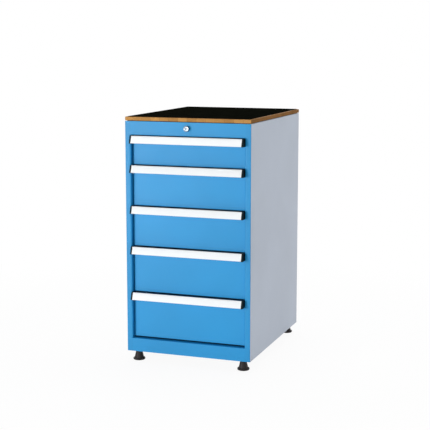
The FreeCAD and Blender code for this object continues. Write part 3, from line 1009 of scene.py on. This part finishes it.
@dataclass
class Drawers:
    """The five drawers, with their handles, trays and slides."""

    rivet_radius: float = 0.0042
    rivet_rise: float = 0.0016
    rivets: int = 6
    rivet_margin: float = 0.04
    runner_stand: float = 0.0015

    def build(self) -> None:
        """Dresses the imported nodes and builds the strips, trays and rivets."""
        tray, strip = Tray(), LabelStrip()
        for number in DRAWERS:
            name = f"drawer_{number}_"
            dress(Coat.FRONT, name + "front")
            dress(Coat.HANDLE, name + "handle")
            dress(Coat.CAP, name + "end_caps")
            dress(Coat.ZINC, name + "runners", f"middle_slides_{number}")
            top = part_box(name + "handle")[1].z
            strip.build(number, top - strip.top_rise)
            tray.build(number)
            self.runner_rivets(number)

    def runner_rivets(self, number: int) -> None:
        """Sets domed rivets through a drawer's runners, turned about X on the right and mirrored left.

        Args:
            number: the drawer's number, from the top.
        """
        tray_low, tray_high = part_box(f"drawer_{number}_tray")
        middle_low, middle_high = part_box(f"middle_slides_{number}")
        places = np.linspace(tray_low.y + self.rivet_margin, tray_high.y - self.rivet_margin, self.rivets)
        right = np.column_stack([np.full(self.rivets, tray_high.x + self.runner_stand), places,
                                 np.full(self.rivets, (middle_low.z + middle_high.z) / 2)])
        points, faces = turned(rivet_head(self.rivet_radius, self.rivet_rise), right, 0)
        points = points.reshape(-1, 3)
        both = np.concatenate([points, points * np.array([-1, 1, 1])])
        faces += [[index + len(points) for index in face] for face in faces]
        make_piece(f"drawer_{number}_runner_rivets", both, faces, Coat.ZINC, f"drawer_{number}")


# ---- Feet ----

@dataclass
class Feet:
    """The four levelling feet with their threaded studs."""

    places: tuple[str, ...] = ("front_left", "front_right", "back_left", "back_right")
    pitch: float = 0.0015
    thread_depth: float = 0.0008
    segments: int = 24
    levels_per_pitch: int = 4
    tip_length: float = 0.0012
    tip_share: float = 0.88

    def build(self) -> None:
        """Dresses the pads and cuts the threads."""
        for place in self.places:
            dress(Coat.FOOT, f"foot_{place}_pad")
            self.thread(place)

    def thread(self, place: str) -> None:
        """Makes a stud: its radius falls and rises as a zigzag of height over pitch less turn.

        Args:
            place: which foot it is.
        """
        name = f"foot_{place}_stud"
        low, high = (np.array(corner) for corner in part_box(name))
        centre = (low + high) / 2
        radius = (high[0] - low[0]) / 2
        turn = np.arange(self.segments) / self.segments
        count = int((high[2] - low[2]) / self.pitch * self.levels_per_pitch)
        levels = np.linspace(low[2], high[2], count)
        zigzag = np.abs(2 * (((levels[:, None] / self.pitch) - turn) % 1.0) - 1)
        reach = radius - self.thread_depth * zigzag
        reach[levels > high[2] - self.tip_length] *= self.tip_share
        points = np.stack([centre[0] + reach * np.cos(2 * math.pi * turn),
                           centre[1] + reach * np.sin(2 * math.pi * turn),
                           np.broadcast_to(levels[:, None], reach.shape)], axis=-1)
        stud = make_piece(f"foot_{place}_threaded_stud", points, closed_stack(count, self.segments),
                          Coat.ZINC, f"foot_{place}", sharp=80)
        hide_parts(name)


# ---- Body and lock ----

@dataclass
class Carcass:
    """The painted body and what is fixed inside it."""

    rivet_radius: float = 0.0034
    rivet_rise: float = 0.0013
    rivets_up: int = 7
    rivets_across: int = 4
    rivet_margin: float = 0.012
    fold_width: float = 0.02
    fold_rise: float = 0.006

    def build(self) -> None:
        """Dresses the body and rivets its back."""
        dress(Coat.POST, "front_post_left", "front_post_right")
        dress(Coat.RAIL, "top_rail", "bottom_rail")
        dress(Coat.GREY_WELDED, "side_panel_left", "side_panel_right")
        dress(Coat.GREY, "back_panel", "base_panel", "top_panel", "slide_uprights")
        dress(Coat.ZINC, "cabinet_slides", "worktop_screws", "foot_inserts", "lock_guides")
        self.back_rivets()

    def back_rivets(self) -> None:
        """Sets low domed rivets round the back sheet, turned about Y at each place."""
        low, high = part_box("back_panel")
        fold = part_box("side_panel_right")[1].x - self.fold_width
        across, up = fold - self.rivet_margin, self.rivet_margin + self.fold_rise
        heights = np.linspace(low.z + up, high.z - up, self.rivets_up)
        columns = [(side * across, height) for side in (-1, 1) for height in heights]
        between = np.linspace(-across, across, self.rivets_across)[1:-1]
        rows = [(x, height) for x in between for height in (heights[0], heights[-1])]
        places = np.array([(x, high.y, z) for x, z in columns + rows])
        points, faces = turned(rivet_head(self.rivet_radius, self.rivet_rise), places, 1)
        make_piece("back_panel_rivets", points, faces, Coat.ZINC, "cabinet")


@dataclass
class Lock:
    """The lock and the bar that it lifts."""

    insert_half_width: float = 0.0029
    insert_half_height: float = 0.0055
    slot_half_width: float = 0.0010
    slot_half_height: float = 0.0045
    insert_rise: float = 0.0004
    insert_bevel: float = 0.0002
    insert_depth: float = 0.004
    insert_points: int = 32
    rim_radius: float = 0.0112
    rim_rise: float = 0.0013
    rim_foot: float = 0.0001
    rim_points: int = 48
    rim_steps: int = 9
    wall_reach: float = 0.0005
    wall_drop: float = 0.0006
    bevel_reach: float = 0.0003
    bevel_drop: float = 0.0001
    bore_radius: float = 0.0068

    def build(self) -> None:
        """Dresses the lock, sets the insert round its keyway and gives its face a dished rim."""
        dress(Coat.CHROME, "lock_housing", "lock_plug")
        dress(Coat.ZINC, "lock_nut", "lock_shaft", "lock_bar", "lock_hooks")
        self.keyway_insert()
        self.dished_rim()

    def oval(self, half_width: float, half_height: float, y: float, middle: np.ndarray) -> np.ndarray:
        """A closed line of two upright sides and two half circles, in a plane across Y.

        Each point is the half circle's, with its Z moved up or down by the straight part's half.

        Args:
            half_width: half the oval's width, and the half circles' radius.
            half_height: half its height.
            y: where its plane stands.
            middle: the middle of the lock.

        Returns:
            (x, y, z) rows.
        """
        turn = (np.arange(self.insert_points) + 0.5) * 2 * math.pi / self.insert_points
        x = half_width * np.cos(turn)
        z = half_width * np.sin(turn) + (half_height - half_width) * np.sign(np.sin(turn))
        return np.column_stack([middle[0] + x, np.full(len(x), y), middle[2] + z])

    def keyway_insert(self) -> None:
        """Makes the oval rim round the keyway: rings from the outer back over the face to the inner."""
        low, high = (np.array(corner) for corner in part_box("lock_plug"))
        face, back = low[1] - self.insert_rise, low[1] + self.insert_depth
        wide, tall, bevel = self.insert_half_width, self.insert_half_height, self.insert_bevel
        slot = (self.slot_half_width, self.slot_half_height)
        rings = [(wide, tall, back), (wide, tall, face + bevel), (wide - bevel, tall - bevel, face),
                 (*slot, face), (*slot, back)]
        points = np.stack([self.oval(*ring, (low + high) / 2) for ring in rings])
        make_piece("lock_keyway_insert", points, closed_hoop(len(rings), self.insert_points), Coat.KEYHOLE,
                   "lock_plug")

    def dished_rim(self) -> None:
        """Turns the rim that stands on the cylinder's face and falls inwards to the plug.

        The height falls with the square of the share of the way from the rim to the bore.
        """
        low, high = (np.array(corner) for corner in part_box("lock_housing"))
        share = np.linspace(0, 1, self.rim_steps)
        radius = self.rim_radius - (self.rim_radius - self.bore_radius) * share
        height = self.rim_foot + (self.rim_rise - self.rim_foot) * (1 - share) ** 2
        wall = self.rim_radius + self.wall_reach
        outer = [[self.bore_radius, -SEAT], [wall, -SEAT], [wall, self.rim_rise - self.wall_drop],
                 [self.rim_radius + self.bevel_reach, self.rim_rise - self.bevel_drop]]
        profile = np.vstack([outer, np.column_stack([radius, height])])
        middle = (low + high) / 2
        points, _ = turned(profile * (1, -1), np.array([[middle[0], low[1], middle[2]]]), 1, self.rim_points)
        make_piece("lock_dished_rim", points, closed_hoop(len(profile), self.rim_points), Coat.CHROME,
                   "cabinet")


# ---- Studio ----

@dataclass(frozen=True)
class SoftBox:
    """A square lamp that faces the cabinet."""

    name: str
    place: Point
    size: float
    power: float
    aim: Point = (0.0, 0.0, 0.55)

    def build(self) -> None:
        """Hangs the lamp."""
        light = bpy.data.lights.new(self.name, "AREA")
        light.shape = "SQUARE"
        light.size = self.size
        light.energy = self.power
        lamp = linked(bpy.data.objects.new(self.name, light))
        lamp.location = self.place
        towards = Vector(self.aim) - Vector(self.place)
        lamp.rotation_euler = towards.to_track_quat("-Z", "Y").to_euler()


@dataclass
class Studio:
    """Floor, lamps, white surround and camera."""

    ambient: float = 0.34
    floor_size: float = 30.0
    floor_drop: float = 0.0002
    floor_colour: Colour = (0.92, 0.92, 0.92)
    floor_glow: float = 0.93
    floor_near: float = 0.6
    floor_far: float = 2.2
    camera_place: Point = (1.6862, -4.7241, 1.3947)
    camera_yaw: float = 19.655
    camera_pitch: float = -8.958
    focal_pixels: float = 1130.2
    image_width: int = 430
    sensor_width: float = 36.0
    lamps: tuple[SoftBox, ...] = (
        SoftBox("key", (-2.75, -4.45, 0.62), 1.2, 120.0),
        SoftBox("fill", (1.3, -5.2, 1.3), 2.0, 44.0),
        SoftBox("top", (0.0, 0.3, 4.2), 2.0, 72.0),
        SoftBox("side", (4.6, 1.6, 1.8), 2.6, 49.0),
        SoftBox("back", (-1.9, 4.9, 1.9), 2.6, 75.0),
    )

    def build(self) -> None:
        """Sets up everything round the cabinet."""
        self.surround()
        self.floor()
        for lamp in self.lamps:
            lamp.build()
        self.camera()
        bpy.context.scene.view_settings.view_transform = "Standard"

    def surround(self) -> None:
        """Lights the scene softly, and shows as white to the camera and in reflections."""
        tree = ShaderTree("studio", world=True)
        soft = tree.node("ShaderNodeBackground", inputs={"Color": WHITE, "Strength": self.ambient})
        white = tree.node("ShaderNodeBackground", inputs={"Color": WHITE, "Strength": 1.0})
        mixed = tree.node("ShaderNodeMixShader", inputs={0: tree.seen(), 1: soft, 2: white})
        bpy.context.scene.world = tree.finish(mixed)

    def floor(self) -> None:
        """Lays a pale floor that keeps the cabinet's shadow."""
        half = self.floor_size / 2
        corners = [(-half, -half, 0), (half, -half, 0), (half, half, 0), (-half, half, 0)]
        mesh = bpy.data.meshes.new("floor")
        mesh.from_pydata(corners, [], [(0, 1, 2, 3)])
        tree = ShaderTree("pale_floor")
        matt = tree.node("ShaderNodeBsdfDiffuse", inputs={"Color": self.floor_colour})
        glow = tree.node("ShaderNodeEmission", inputs={"Color": WHITE})
        x, y, _ = tree.axes()
        away = (x * x + y * y).over(self.floor_near ** 2, self.floor_far ** 2)
        share = self.floor_glow + away * (1 - self.floor_glow)
        mixed = tree.node("ShaderNodeMixShader", inputs={0: tree.seen() * share, 1: matt, 2: glow})
        mesh.materials.append(tree.finish(mixed))
        floor = linked(bpy.data.objects.new("floor", mesh))
        floor.location.z = -self.floor_drop

    def camera(self) -> None:
        """Stands the camera in front of the cabinet, to its right and above its top."""
        data = bpy.data.cameras.new("camera")
        data.sensor_width = self.sensor_width
        data.lens = self.focal_pixels / self.image_width * self.sensor_width
        camera = linked(bpy.data.objects.new("camera", data))
        camera.location = self.camera_place
        camera.rotation_euler = (math.radians(90 + self.camera_pitch), 0, math.radians(self.camera_yaw))
        bpy.context.scene.camera = camera


def main() -> None:
    """Builds the cabinet's looks and the studio."""
    logging.basicConfig(level=logging.INFO, format="%(name)s: %(message)s")
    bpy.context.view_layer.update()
    Carcass().build()
    Worktop().build()
    Drawers().build()
    Lock().build()
    Feet().build()
    Studio().build()


if __name__ == "__main__":
    main()
